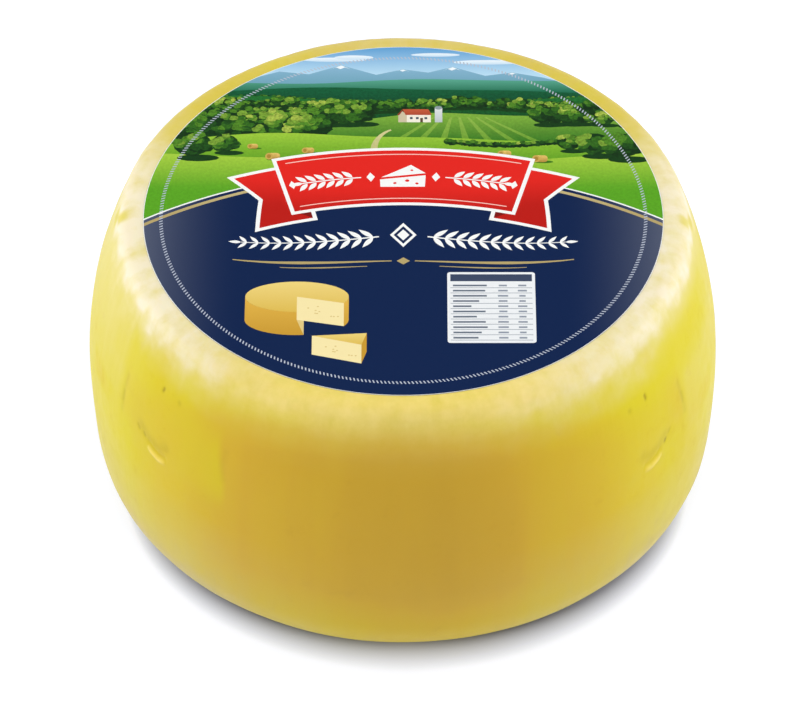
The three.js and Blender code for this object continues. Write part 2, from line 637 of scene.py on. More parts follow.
@dataclass(frozen=True)
class CoatingState:
    """How the coating was laid on, and where painted light and painted shade lie on it: shares from 0 to 1
    at each turn and height.

    A ramp named around reads the turn, one named away its size either way, and one named up the height.
    """

    thick_places: tuple[ThickPlace, ...] = (
        # in front: thick coating, whose ochre there is partly painted shade of the front belly
        ThickPlace(-2.5, 119.7, (23.0, 36.0, 58.0)),
        ThickPlace(152.0, 116.0, (10.0, 26.0, 44.0)),
        ThickPlace(-138.0, 112.0, (8.0, 22.0, 40.0)),
    )
    thick_away: Ramp = Ramp((100, 130), (0, 0.3))
    thick_up: Ramp = Ramp((11, 43), (0.38, 1))
    fold: Strip = Strip(Ramp((-50, -35.6, -34.2), (0, 0.6, 0)), 88, 16)
    fold_sway: float = 0.8  # degrees
    fold_wave: float = 7.0  # mm up for a radian of its sway
    thin_places: tuple[Strip, ...] = (
        Strip(Ramp((-62.9, -62.3, -52.0), (0, 0.24, 0)), 88, 12),
        Strip(Ramp((52.0, 61.6, 62.2), (0, 0.24, 0)), 88, 12),
        Strip(Ramp((40, 50, 66, 76), (0, 0.15, 0.15, 0)), 68, 30),
    )
    dabs: tuple[Spot, ...] = (Spot(-73.5, 77, 6, 6, 0.3, 2), Spot(74, 72, 6, 6, 0.2, 2))
    # places left without the painted highlight and the painted floor reflection
    highlight_gaps: tuple[Spot, ...] = (
        Spot(72.0, 105.3, 16.0, 11.5, 1.0),
        Spot(98.0, 97.5, 9.0, 15.5, 1.0),
        Spot(-73.0, 76.5, 8.0, 6.5, 1.0),
        Spot(74.0, 71.5, 5.0, 6.0, 1.0),
        Spot(-66.5, 106.0, 4.5, 8.0, 0.4),
        Spot(-150.0, 104.0, 20.0, 11.0, 0.4),
        Spot(-90.9, 126.8, 1.6, 2.2, 0.75),
        Spot(-93.2, 122.8, 2.0, 2.8, 0.8),
        Spot(89.4, 126.8, 1.6, 2.2, 0.7),
        Spot(91.8, 122.8, 2.0, 2.8, 0.8),
    )
    # the painted reflection of the pale floor at the foot
    reflection_up: Ramp = Ramp((12, 30, 62), (1, 0.5, 0))
    reflection_away: Ramp = Ramp((12, 45), (0.15, 1))
    behind_away: Ramp = Ramp((92, 115), (0, 0.16))
    # the painted highlight over the front shoulder
    butter_highlight_up: Ramp = Ramp((100, 108, 115, 119, 122, 126), (0, 0.04, 0.16, 0.35, 0.53, 0.82))
    butter_highlight_away: Ramp = Ramp((24, 54), (1, 0))
    # the next ones shape the cream painted highlight at the sides
    lopsided_around: Ramp = Ramp((0, 20, 30, 40, 60), (0, 8, 7, 2, 0))  # degrees
    tilt_around: Ramp = Ramp((-60, 0, 45, 51, 60), (-0.3, 1, 2.6, 3.1, 1.9))  # mm
    ragged: float = 2.8  # mm that the cream's edge wanders
    ragged_away: Ramp = Ramp((10, 28, 98, 126), (0.3, 1, 1, 0.2))
    cream_up: Ramp = Ramp((107, 116, 121, 127), (0, 0.2, 0.42, 0.98))
    cream_away: Ramp = Ramp(
        (24, 36, 44, 58, 95, 110, 120, 132, 160, 180),
        (0.1, 0.28, 0.66, 0.95, 0.98, 0.6, 0.2, 0.05, 0.15, 0.27),
    )
    cream_mottle: tuple[float, float] = (0.97, 0.35)  # its strength, and how much roughness adds
    # a paler cream wash over the flanks: painted sheen
    wash_up: Ramp = Ramp((50, 88, 104, 117), (0, 0.08, 0.2, 0.3))
    wash_around: Ramp = Ramp(
        (-110, -95, -65.2, -62.8, -54, 61.5, 64.5, 90, 110),
        (0.3, 1, 1, 0.3, 0, 0, 1, 0.9, 0.3),
    )
    # painted shade along the label's edge in front
    edge_shade: float = 0.11
    edge_shade_foot: float = 123.0  # mm, the height where it starts
    edge_shade_turn: float = -4.0
    edge_shade_away: Ramp = Ramp((26, 50), (1, 0))

    def thickness(self, turn: Array, height: Array) -> Array:
        """Says where the coating is thick, and where in front its ochre is partly painted shade: broad domed
        places round the belly that fade at their edges.

        In front, a fold in the rind cuts the left edge off. Farther out at each side lies a thinner band,
        which stops at the long upright crease, and beyond that a small dab. The right flank is a little
        thicker than the left, and the back is a little thick all over.

        Args:
            turn: turns in degrees.
            height: heights in millimetres.

        Returns:
            The share of thick coating from 0 to 1.
        """
        share = self.thick_away.at(np.abs(turn))
        for place in self.thick_places:
            share = np.maximum(share, place.at(turn, height))
        share *= 1 - self.fold.at(turn + self.fold_sway * np.sin(height / self.fold_wave), height)
        thinner = sum(place.at(turn, height) for place in self.thin_places + self.dabs)
        return share * self.thick_up.at(height) + thinner

    def painted_light_share(self, turn: Array, height: Array) -> Array:
        """Says how much painted highlight and floor reflection shows: less in the places left without them.
        """
        return np.prod([1 - place.at(turn, height) for place in self.highlight_gaps], axis=0)

    def fade_and_reflection(self, turn: Array, height: Array) -> Array:
        """Says how far it turns straw: painted floor reflection at the foot, less in front, a little behind.
        """
        foot = self.reflection_up.at(height) * self.reflection_away.at(np.abs(turn))
        return np.maximum(foot, self.behind_away.at(np.abs(turn)))

    def butter_highlight(self, turn: Array, height: Array) -> Array:
        """Says where a painted highlight makes it butter yellow: over the shoulder in front."""
        return self.butter_highlight_up.at(height) * self.butter_highlight_away.at(np.abs(turn))

    def cream_highlight(self, turn: Array, height: Array, roughness: Array) -> Array:
        """Says where painted highlight and sheen make it cream: over the shoulder's sides to a wandering
        edge, then in a wash.

        Args:
            turn: turns in degrees.
            height: heights in millimetres.
            roughness: random relief, which moves the edge up and down and mottles the cream.

        Returns:
            The share of cream from 0 to 1.
        """
        away = np.abs(turn) + self.lopsided_around.at(turn)
        level = height + self.ragged * roughness * self.ragged_away.at(away) + self.tilt_around.at(turn)
        cream = self.cream_away.at(away) * self.cream_up.at(level)
        cream *= self.cream_mottle[0] + self.cream_mottle[1] * roughness
        return np.maximum(cream, self.wash_up.at(height) * self.wash_around.at(turn))

    def edge_shaded(self, turn: Array, height: Array, top: float) -> Array:
        """Says where painted shade darkens it: along the label's edge in front, up to the wheel's top."""
        up = np.interp(height, (self.edge_shade_foot, top), (0, self.edge_shade))
        return up * self.edge_shade_away.at(np.abs(turn - self.edge_shade_turn))


@dataclass
class CheeseWheel:
    """The cheese in its coating: a drum that has sunk a little under its own weight."""

    widest_radius: float = 125.0
    shoulder_radius: float = 8.0
    upper_belly_radius: float = 185.0
    lower_belly_radius: float = 322.0
    foot_radius: float = 28.0
    shoulder_angle: float = 21.3  # degrees that the side leans in where the shoulder starts
    foot_angle: float = 5.7  # and where the foot starts
    label_seat: float = 103.0  # radius of the level place under the label
    seat_margin: float = 3.0  # mm outwards from there, over which the relief grows
    flat_margin: float = 6.0  # mm up from the underside, likewise
    columns: int = 660
    foot_rows: int = 16
    lower_rows: int = 16
    upper_rows: int = 86
    shoulder_rows: int = 20
    underside_rings: tuple[float, ...] = (0.1, 0.5, 0.85, 1.0)  # shares of the flats' radii
    top_rings: tuple[float, ...] = (0.993, 0.982, 0.96, 0.85, 0.5, 0.1)
    fine_turns: tuple[float, float] = (-55.0, 55.0)  # where the columns stand closer together
    fine_spread: float = 11.0  # degrees
    fineness: float = 1.3
    waves: tuple[Wave, ...] = (
        Wave(2, 0.35, 0.6),
        Wave(3, 0.25, 2.1),
        Wave(5, 0.18, 4.0),
        Wave(8, 0.1, 1.3),
    )
    dents: tuple[Dent, ...] = (
        Dent(-54, 70, 17, 19, 0.9),
        Dent(54, 70, 17, 19, 0.9),
        Dent(152, 58, 24, 15, 0.8),
        Dent(-142, 84, 20, 14, 0.7),
    )
    creases: tuple[Crease, ...] = (
        Crease(((-62.1, 97.0), (-62.7, 90.0), (-62.9, 79.0)), 2.0, 0.1, 0.0, 0.12),
        Crease(((-62.7, 88.5), (-62.8, 84.0)), 1.5, 0.1, 0.0, 0.3),
        Crease(((-57.0, 80.6), (-56.6, 79.6)), 1.3, 0.12, 0.0, 0.4),
        Crease(((-55.1, 79.4), (-54.8, 78.6)), 1.2, 0.15, 0.0, 0.5),
        Crease(((-53.3, 76.8), (-52.2, 75.7), (-50.4, 75.2), (-48.8, 76.2)), 1.35, 0.4, 0.7, 0.12),
        Crease(((-51.1, 106.6), (-51.3, 105.4)), 1.0, 0.2, 0.0, 0.7),
        Crease(((-46.7, 105.9), (-46.6, 105.4)), 1.3, 0.15, 0.0, 0.22),
        Crease(((-34.4, 97.0), (-34.9, 91.0), (-34.5, 84.0)), 2.2, 0.12, 0.0, 0.09),
        # the next two are wide and shallow: mostly painted shade above the lips
        Crease(((-56.0, 82.0), (-53.5, 79.0), (-50.5, 78.4), (-48.6, 81.5)), 3.6, 0.12, 0.0, 0.2),
        Crease(((55.5, 78.0), (53.5, 75.6), (50.5, 75.0), (48.7, 77.5)), 3.6, 0.12, 0.0, 0.18),
        Crease(((61.3, 95.0), (62.1, 87.0), (62.6, 78.5)), 2.0, 0.1, 0.0, 0.14),
        Crease(((61.9, 89.0), (62.3, 84.0)), 1.5, 0.1, 0.0, 0.3),
        Crease(((57.0, 78.4), (56.6, 77.4)), 1.4, 0.12, 0.0, 0.25),
        Crease(((55.6, 75.6), (55.4, 74.9)), 1.2, 0.15, 0.0, 0.75),
        Crease(((53.5, 73.0), (52.6, 71.8), (50.9, 71.3), (49.2, 72.4)), 1.35, 0.4, 0.7, 0.12),
        Crease(((51.1, 103.8), (51.2, 102.2)), 1.0, 0.2, 0.0, 0.75),
        Crease(((46.5, 102.5), (46.6, 102.0)), 1.3, 0.15, 0.0, 0.25),
        Crease(((120.0, 66.0), (126.0, 61.0), (131.0, 60.0)), 1.3, 0.3, 0.3, 0.2),
        Crease(((-158.0, 96.0), (-156.0, 86.0)), 1.6, 0.25, 0.0, 0.3),
        Crease(((178.0, 48.0), (186.0, 51.0)), 1.3, 0.3, 0.25, 0.2),
    )
    lump: float = 34.0  # mm, across a lump
    lump_height: float = 0.16
    crinkle: float = 9.0  # mm, across a crinkle
    crinkle_height: float = 0.035
    shoulder_crinkle_height: float = 0.14  # mm more over the shoulder
    shoulder_reach: float = 13.0  # mm down from it, where that has mostly died away
    stroke: float = 3.2  # mm, across a stroke of the brush
    stroke_press: float = 0.22  # how far heights are pressed together, so that noise runs in strokes
    rough_shares: tuple[float, float, float] = (0.7, 0.35, 0.15)  # of crinkles, lumps and strokes
    fade_and_reflection_unevenness: float = 0.4  # how much the lumps change it
    butter_highlight_unevenness: float = 0.25
    coating: CoatingState = field(default_factory=CoatingState)
    finish: CheeseCoating = field(default_factory=CheeseCoating)

    def outline(self) -> tuple[Array, Array, Array]:
        """Works out the half outline from near the middle of the underside to near the middle of the top.

        Between its two flats are four tangent arcs. Each runs from one lean of the outward normal to another.

        Returns:
            Each ring's radius and height, and how far its outward normal leans up from level, in radians.
        """
        foot, shoulder = math.radians(self.foot_angle), math.radians(self.shoulder_angle)
        drawn_in = self.lower_belly_radius * (1 - math.cos(foot)) + self.foot_radius * math.cos(foot)
        rings = np.array(self.underside_rings)
        radii = [(self.widest_radius - drawn_in) * rings]
        heights, leans = [np.zeros(len(rings))], [np.full(len(rings), -math.pi / 2)]
        turns = (
            (self.foot_radius, -math.pi / 2, -foot, self.foot_rows),
            (self.lower_belly_radius, -foot, 0.0, self.lower_rows),
            (self.upper_belly_radius, 0.0, shoulder, self.upper_rows),
            (self.shoulder_radius, shoulder, math.pi / 2, self.shoulder_rows),
        )
        for radius, start, end, rows in turns:
            lean = np.linspace(start, end, rows + 1)[1:]
            radii.append(radii[-1][-1] + radius * (np.cos(lean) - math.cos(start)))
            heights.append(heights[-1][-1] + radius * (np.sin(lean) - math.sin(start)))
            leans.append(lean)
        radii.append(radii[-1][-1] * np.array(self.top_rings))
        heights.append(np.full(len(self.top_rings), heights[-1][-1]))
        leans.append(np.full(len(self.top_rings), math.pi / 2))
        return np.concatenate(radii), np.concatenate(heights), np.concatenate(leans)

    def column_turns(self) -> Array:
        """Spaces the columns, closer together where most of the creases are.

        The density is 1 plus a bell curve at each side of the front, and the columns stand at equal steps of
        its running sum.

        Returns:
            The turn of each column in degrees, rising from -180.
        """
        turn = np.linspace(-180, 180, 7201)
        bells = sum(bell(turn - middle, self.fine_spread) for middle in self.fine_turns)
        density = 1 + self.fineness * bells
        running = np.append(0, np.cumsum((density[1:] + density[:-1]) / 2))
        return np.interp(np.linspace(0, running[-1], self.columns, endpoint=False), running, turn)

    def sag(self, turn: Array, height: Array, top: float) -> Array:
        """Gives the slow unevenness: the waves less a bell-shaped hollow for each dent.

        It dies away towards both flats, which stay level.

        Args:
            turn: turns in degrees.
            height: heights in millimetres.
            top: the wheel's height.

        Returns:
            How far each place stands out in millimetres.
        """
        angle = np.radians(turn - 90)
        out = sum(wave.height * np.cos(wave.count * angle + wave.phase) for wave in self.waves)
        for dent in self.dents:
            across = np.radians(aside(turn, dent.turn)) * self.widest_radius
            out = out - dent.depth * bell(across, dent.wide) * bell(height - dent.height, dent.tall)
        share = height / top
        return out * np.minimum(1, 6 * share * (1 - share)) ** 2

    def creased(self, turn: Array, height: Array) -> tuple[Array, Array, Array]:
        """Presses the creases in: a bell-shaped groove along each path, and a lip along its lower side.

        The lip is highest at its middle and dies away to both ends along a half ellipse.

        Args:
            turn: turns in degrees.
            height: heights in millimetres.

        Returns:
            How far each place stands out in millimetres, and its painted shade and its lip's painted
            highlight, from 0 to 1.
        """
        out, painted_shade, lip_highlight = np.zeros_like(turn), np.zeros_like(turn), np.zeros_like(turn)
        for crease in self.creases:
            nearest, below, along = crease.nearest(turn, height, self.widest_radius)
            widths = nearest / crease.width
            lip = crease.lip * bell(widths - crease.lip_middle, crease.lip_spread) * (below > 0)
            lip *= np.sqrt(4 * along * (1 - along))
            out += lip - crease.depth * bell(widths, 1)
            # painted shade along the groove
            painted_shade = np.maximum(painted_shade, crease.painted_shade * bell(widths, crease.lip_spread))
            # painted highlight on the lip
            lip_highlight = np.maximum(lip_highlight, lip)
        return out, painted_shade, lip_highlight

    def build(self) -> bpy.types.Object:
        """Carries the outline round the axis and pushes each place out along its own normal.

        What pushes it is the sag, the creases, and random lumps and crinkles, each with a second lot half as
        wide and half as high. All but the sag die away towards the flats.

        Returns:
            The closed mesh, with the attributes that its coating reads.
        """
        radii, heights, leans = self.outline()
        top = heights[-1]
        turn, radius = np.meshgrid(self.column_turns(), radii)
        height, lean = (np.repeat(values[:, None], self.columns, axis=1) for values in (heights, leans))
        cos, sin = np.cos(np.radians(turn - 90)), np.sin(np.radians(turn - 90))
        level = np.stack([radius * cos, radius * sin, height], axis=2)
        normal = np.stack([np.cos(lean) * cos, np.cos(lean) * sin, np.sin(lean)], axis=2)

        lumps, crinkles = (
            Lattice(seed).at(level.reshape(-1, 3), size).reshape(turn.shape)
            + 0.5 * Lattice(seed + 1).at(level.reshape(-1, 3), size / 2).reshape(turn.shape)
            for seed, size in ((13, self.lump), (11, self.crinkle))
        )
        free = np.clip(heights / self.flat_margin, 0, 1)[:, None]
        seat = np.clip((radii - self.label_seat) / self.seat_margin, 0, 1)[:, None]
        free = free * np.where(heights[:, None] < top / 2, 1, seat)
        shoulder = bell(heights - top + 1, self.shoulder_reach)[:, None] * free
        presses, painted_shade, lip_highlight = self.creased(turn, height)
        crinkled = (self.crinkle_height + self.shoulder_crinkle_height * shoulder) * crinkles
        out = self.sag(turn, height, top) + (presses + self.lump_height * lumps + crinkled) * free
        places = (level + normal * out[:, :, None]).reshape(-1, 3)

        number = np.arange(len(places)).reshape(turn.shape)
        onward = np.roll(number, -1, axis=1)
        quads = np.stack([number[:-1], onward[:-1], onward[1:], number[1:]], axis=2).reshape(-1, 4)
        pole = np.full(self.columns, len(places))
        below = np.stack([pole, onward[0], number[0]], axis=1)
        above = np.stack([pole + 1, number[-1], onward[-1]], axis=1)
        poles = np.array([[0, 0, 0], [0, 0, top]])
        piece = mesh_object("cheese", np.concatenate([places, poles]), [quads, below, above])

        climb = np.append(0, np.cumsum(np.hypot(np.diff(radii), np.diff(heights))))
        pressed = np.repeat(self.stroke_press * climb[:, None], self.columns, axis=1)
        unrolled = np.stack([cos * self.widest_radius, sin * self.widest_radius, pressed], axis=2)
        unrolled = unrolled.reshape(-1, 3)
        strokes = Lattice(21).at(unrolled, self.stroke).reshape(turn.shape)
        unrolled = np.concatenate([unrolled * MM, np.zeros((2, 3))])
        set_attribute(piece, "unrolled", "FLOAT_VECTOR", "POINT", unrolled)
        coating, painted_light_share = self.coating, self.coating.painted_light_share(turn, height)
        reliefs = zip(self.rough_shares, (crinkles, lumps, strokes))
        roughness = sum(share * relief for share, relief in reliefs)
        fields = {
            # thick coating, and in front partly painted shade
            "belly": coating.thickness(turn, height),
            # painted reflection of the pale floor at the foot, and straw behind
            "fade_and_reflection": coating.fade_and_reflection(turn, height) * painted_light_share * (1 + self.fade_and_reflection_unevenness * lumps),
            # painted highlight over the front shoulder and on the creases' lips
            "butter_highlight": np.maximum(coating.butter_highlight(turn, height) * (1 + self.butter_highlight_unevenness * lumps), lip_highlight),
            # painted highlight and painted sheen of the side softboxes
            "cream_highlight": np.clip(coating.cream_highlight(turn, height, roughness) * painted_light_share, 0, 1),
            # painted shade in the creases and along the label's edge
            "shade_share": np.maximum(painted_shade, coating.edge_shaded(turn, height, top)),
        }
        for name, values in fields.items():
            set_attribute(piece, name, "FLOAT", "POINT", np.append(values.ravel(), [0.0, 0.0]))
        return piece

    def dress(self, piece: bpy.types.Object) -> None:
        """Gives the cheese its coating, and tells the frame what it stands for.

        Args:
            piece: the cheese.
        """
        piece.data.materials.append(self.finish.material())
        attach(piece, "root")
        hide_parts("cheese_wheel")


class Fade(Enum):
    """Which way an ink shades from its first colour to its second."""

    UP = 0
    # used for the navy's painted sheen
    OUTWARD = 1


@dataclass(frozen=True)
class Ink:
    """An ink: its two colours, where the first starts to turn into the second and has done so, and more."""

    first: str
    second: str = ""
    start: float = 0.0
    end: float = 1.0
    fade: Fade = Fade.UP
    leafy: float = 0.0  # how far noise breaks it into leaves, from 0 to 1


@dataclass(frozen=True)
class Patch:
    """One printed shape: the corners of its outline in millimetres, and its ink."""

    outline: Array
    ink: Ink


def arc(centre: tuple[float, float], radius: float, start: float, end: float, count: int = 24) -> Array:
    """Gives points along an arc.

    Args:
        centre: its centre.
        radius: its radius.
        start: its first angle in degrees, anticlockwise from +u.
        end: its last angle.
        count: how many points.

    Returns:
        The points, one a row.
    """
    angle = np.radians(np.linspace(start, end, count))
    return np.array(centre) + radius * np.stack([np.cos(angle), np.sin(angle)], axis=1)


def ellipse(u: float, v: float, wide: float, tall: float, count: int = 28) -> Array:
    """Gives the outline of an ellipse from its centre and its two half widths."""
    return arc((0, 0), 1, 0, 360, count + 1)[:-1] * (wide, tall) + (u, v)


def oblong(u: float, v: float, wide: float, tall: float, radius: float = 0.0) -> Array:
    """Gives a rectangle with round corners.

    Args:
        u: its centre's place across.
        v: its centre's place up.
        wide: its full width.
        tall: its full height.
        radius: its corners' radius.

    Returns:
        The outline.
    """
    x, y, count = wide / 2 - radius, tall / 2 - radius, 6 if radius else 1
    corners = ((x, y, 0), (-x, y, 90), (-x, -y, 180), (x, -y, 270))
    return np.concatenate([arc((a, b), radius, turn, turn + 90, count) for a, b, turn in corners]) + (u, v)


def lozenge(u: float, v: float, wide: float, tall: float) -> Array:
    """Gives a lozenge from its centre and its two half widths."""
    return np.array([[wide, 0], [0, tall], [-wide, 0], [0, -tall]]) + (u, v)


def stroke(path: Array, width: Array | float) -> Array:
    """Gives the outline of a line along a path: half its width out to each side, along the path's normal.

    Args:
        path: the line's middle, one point a row.
        width: its full width, or one width a point.

    Returns:
        The outline.
    """
    along = np.gradient(path, axis=0)
    along /= np.linalg.norm(along, axis=1, keepdims=True)
    side = np.stack([-along[:, 1], along[:, 0]], axis=1) * np.full(len(path), width)[:, None] / 2
    return np.concatenate([path - side, (path + side)[::-1]])


def grow(outline: Array, by: float) -> Array:
    """Moves every side of an outline out by the same distance, with mitred corners.

    Args:
        outline: its corners, anticlockwise.
        by: the distance.

    Returns:
        The new outline.
    """
    sides = np.roll(outline, -1, axis=0) - outline
    sides /= np.linalg.norm(sides, axis=1, keepdims=True)
    out = np.stack([sides[:, 1], -sides[:, 0]], axis=1)
    mitre = out + np.roll(out, 1, axis=0)
    mitre /= np.maximum(np.einsum("ij,ij->i", mitre, out), 0.5)[:, None]
    return outline + mitre * by


def leaf(u: float, v: float, lean: float, length: float, width: float) -> Array:
    """Gives a pointed leaf, whose half width goes as the sine of the way from its base to its tip.

    Args:
        u: its base's place across.
        v: its base's place up.
        lean: its direction in degrees, anticlockwise from +u.
        length: from base to tip.
        width: where it is widest.

    Returns:
        The outline.
    """
    share = np.linspace(0, 1, 9)
    half = width / 2 * np.sin(np.pi * share**0.85)
    below = np.stack([share * length, -half], axis=1)
    above = np.stack([share * length, half], axis=1)[-2:0:-1]
    return turned(np.concatenate([below, above]), lean) + (u, v)


def turned(outline: Array, lean: float) -> Array:
    """Turns an outline anticlockwise round the origin by an angle in degrees."""
    cos, sin = math.cos(math.radians(lean)), math.sin(math.radians(lean))
    return outline @ np.array([[cos, sin], [-sin, cos]])


def scroll(
    u: float, v: float, lean: float, length: float, bends: tuple[float, float], count: int
) -> Array:
    """Gives a path whose bend changes evenly along it, as a pen's flourish does.

    Its direction is the start direction plus the running sum of the bend, and its places are the running sum
    of that direction.

    Args:
        u: its start's place across.
        v: its start's place up.
        lean: its first direction in degrees, anticlockwise from +u.
        length: its length.
        bends: the first and the last bend, in degrees to the millimetre.
        count: how many points.

    Returns:
        The points, one a row.
    """
    step = length / (count - 1)
    bend = np.linspace(*bends, count)[:-1]
    heading = np.radians(lean + np.append(0, np.cumsum(bend * step))[:-1] + bend * step / 2)
    steps = np.stack([np.cos(heading), np.sin(heading)], axis=1) * step
    return np.concatenate([[[0, 0]], np.cumsum(steps, axis=0)]) + (u, v)


@dataclass
class LabelArt:
    """The print: a made-up farm valley over a navy field, with a red ribbon, a garland and a ruled panel.

    Places are in millimetres from the label's centre, u to the right and v away from the front. The shapes
    are listed from the lowest ink to the uppermost.
    """

    radius: float = 102.0
    border: float = 0.25  # bare paper round the print
    arch_top: float = 27.0  # where the navy field's arched edge is highest
    arch_radius: float = 190.0
    cord_radius: float = 95.0
    seed: int = 7
    navy: str = "#041f4a"
    # the navy's paler left and right edges: a painted sheen
    navy_sheen: str = "#4f576d"
    white: str = "#f3f4f2"
    red: str = "#e0231b"
    deep_red: str = "#b8170f"
    fold_red: str = "#7a0f0a"
    gold: str = "#b3a06a"
    greens: tuple[str, ...] = ("#0e3011", "#1c4816", "#30641a", "#4b7e21", "#739932", "#9cb246")
    patches: list[Patch] = field(default_factory=list)
    rng: np.random.Generator = field(init=False)

    def paint(self, outline: Array, *inks: object, **more: object) -> None:
        """Lays one shape over what is painted so far; the other arguments are the ink's own."""
        self.patches.append(Patch(np.asarray(outline, float), Ink(*inks, **more)))

    def draw(self) -> list[Patch]:
        """Draws the whole print.

        Returns:
            The shapes from the lowest ink up. The first is the paper, and the second the print's edge.
        """
        for inset in (0.0, self.border):
            self.paint(ellipse(0, 0, self.radius - inset, self.radius - inset, 360), self.white)
        self.rng = np.random.default_rng(self.seed)
        self.sky()
        self.far_land()
        self.near_land()
        self.navy_field()
        self.cord()
        self.garland()
        self.flourish()
        self.cut_cheese(-41.0, -47.0)
        self.ruled_panel(34.0, -53.0)
        self.ribbon()
        return self.patches

    def sky(self) -> None:
        """Draws the sky, long thin clouds and a ridge with snowy peaks."""
        self.paint([[-104, 60], [104, 60], [104, 104], [-104, 104]], "#b8dcf0", "#5f9fd2", 84, 101)
        clouds = ((-28, 94, 13, 1.3), (-20, 95.3, 8, 1.4), (13, 97, 10, 1.1), (34, 92.4, 14, 1.4))
        for u, v, wide, tall in clouds:
            self.paint(ellipse(u, v, wide, tall, 18), "#c6deef", "#eef6fb", v - tall, v + tall)
        ridge = [[-70, 78], [70, 78], [56, 83], [44, 86], [33, 84], [20, 89.5], [10, 86]]
        ridge += [[0, 88], [-11, 84.6], [-25, 90.5], [-38, 85], [-50, 86.6], [-62, 82]]
        self.paint(ridge, "#6fa3b8", "#86b3cf", 80, 90)
        snow = np.array([[-1, -1], [-0.45, -0.5], [-0.1, -0.95], [0.3, -0.5], [0.8, -1], [0, 0]])
        peaks = ((20, 89.5, 4.4, 2.2), (-25, 90.5, 4.8, 2.4), (44, 86, 3.2, 1.3), (0, 88, 3.2, 1.3))
        for u, v, wide, tall in peaks:
            self.paint(snow * (wide, tall) + (u, v - 0.1), "#eef5f8")

    def crest(self, u: Array, base: float, swell: float, length: float, phase: float) -> Array:
        """Gives the height of a fold of land: its base, a slow wave and a faster, lower one."""
        return base + swell * (np.sin(u / length + phase) + 0.35 * np.sin(2.3 * u / length + 2 * phase))

    def land(self, shape: tuple[float, float, float, float], *inks: object, **more: object) -> None:
        """Paints one fold of land: all that is below its crest.

        Args:
            shape: the crest's base height, its swell, its length and its phase.
            *inks: the ink's colours and where it fades.
            **more: the ink's other values.
        """
        u = np.linspace(104, -104, 53)
        above = np.stack([u, self.crest(u, *shape)], axis=1)
        below = np.stack([u[::-1], np.full(len(u), -5.0)], axis=1)
        self.paint(np.concatenate([below, above]), *inks, **more)

    def tufts(self, centres: Array, sizes: Array, lit: Array) -> None:
        """Paints tufts of leaves, each a small round shape with eight uneven corners.

        Args:
            centres: the tufts' places.
            sizes: their radii.
            lit: how much light each catches, from 0 to 1.
        """
        count = len(centres)
        angle = np.radians(np.arange(8) * 45) + self.rng.uniform(0, 0.7, (count, 1))
        reach = sizes[:, None] * self.rng.uniform(0.75, 1.2, (count, 8))
        corners = np.stack([reach * np.cos(angle), 0.85 * reach * np.sin(angle)], axis=2)
        shades = np.clip((lit * len(self.greens)).astype(int), 0, len(self.greens) - 1)
        for outline, shade in zip(centres[:, None, :] + corners, shades):
            self.paint(outline, self.greens[shade], leafy=0.7)

    def tree(self, u: float, v: float, size: float, tone: float) -> None:
        """Paints a broadleaf tree, a crown of tufts lit from the upper left.

        Args:
            u: its foot's place across.
            v: its foot's place up.
            size: its height.
            tone: how much lighter it is than most.
        """
        count = 12 + int(size)
        angle, reach = self.rng.uniform(0, 2 * np.pi, count), np.sqrt(self.rng.uniform(0, 1, count))
        across, up = reach * np.cos(angle), reach * np.sin(angle)
        order = np.argsort(up - 0.3 * across)
        across, up = across[order], up[order]
        self.paint(ellipse(u + size * 0.15, v, size * 0.5, size * 0.12, 12), "#123a14", leafy=0.4)
        self.paint(ellipse(u, v + size * 0.5, size * 0.45, size * 0.42, 14), "#113612", leafy=0.8)
        centres = np.stack([u + across * size * 0.42, v + size * (0.52 + up * 0.36)], axis=1)
        lit = 0.32 + tone + 0.3 * up - 0.22 * across + self.rng.normal(0, 0.09, count)
        self.tufts(centres, np.full(count, size * 0.15), lit)

    def wood(self, left: float, right: float, level: float, size: float) -> None:
        """Paints a belt of broadleaf trees that overlap by about half.

        Args:
            left: where it starts.
            right: where it ends.
            level: about where the trees' feet are.
            size: about how high the trees are.
        """
        for u in np.arange(left, right, size * 0.52):
            place = level + 1.2 * math.sin(u / 13 + level)
            tone = 0.06 + 0.12 * math.sin(u / 7 + level) + self.rng.normal(0, 0.06)
            self.tree(u + self.rng.normal(0, 0.1 * size), place, size * self.rng.uniform(0.8, 1.25), tone)

    def hedge(self, path: Array, size: float, tone: float) -> None:
        """Paints a hedge: dark tufts along a path, then lit ones on their upper left.

        Args:
            path: the tufts' places.
            size: a tuft's radius.
            tone: how much lighter it is than most.
        """
        rng, count = self.rng, len(path)
        sizes = size * rng.uniform(0.8, 1.25, count)
        self.tufts(path, sizes, 0.08 + tone + rng.normal(0, 0.05, count))
        shift = np.stack([-0.3 * sizes, 0.5 * sizes], axis=1) + rng.normal(0, 0.15 * size, (count, 2))
        self.tufts(path + shift, sizes * 0.62, 0.5 + tone + rng.normal(0, 0.16, count))

    def far_land(self) -> None:
        """Draws the blue ridge, the dark woods and the far fields."""
        self.land((80.5, 1.3, 26, 0.7), "#1c6b4d", "#57a58c", 74, 82)
        self.land((75.0, 1.5, 31, 2.2), "#063d22", "#0f5a36", 62, 76, leafy=0.35)
        u = np.sort(self.rng.uniform(-80, 80, 90))
        woods = (69.0, 2.2, 24, 4.0)
        self.hedge(np.stack([u, self.crest(u, *woods) - 0.8], axis=1), 1.5, -0.06)
        self.land(woods, "#0a4420", "#1f6b2c", 56, 71, leafy=0.5)
        self.wood(-76, 78, 62.5, 7.0)
        self.wood(-82, -12, 58.5, 8.5)
        self.land((58.5, 2.4, 22, 0.4), "#3c7a22", "#7fae3c", 46, 61, leafy=0.2)
        for row in range(-3, 4):
            far, near = 22 + 3.4 * row, 24 + 10.9 * row
            furrow = [[near, 40], [near + 3.5, 40], [far + 0.9, 58.5], [far, 58.5]]
            self.paint(furrow, "#5f9427", "#8fb54a", 42, 58, leafy=0.2)

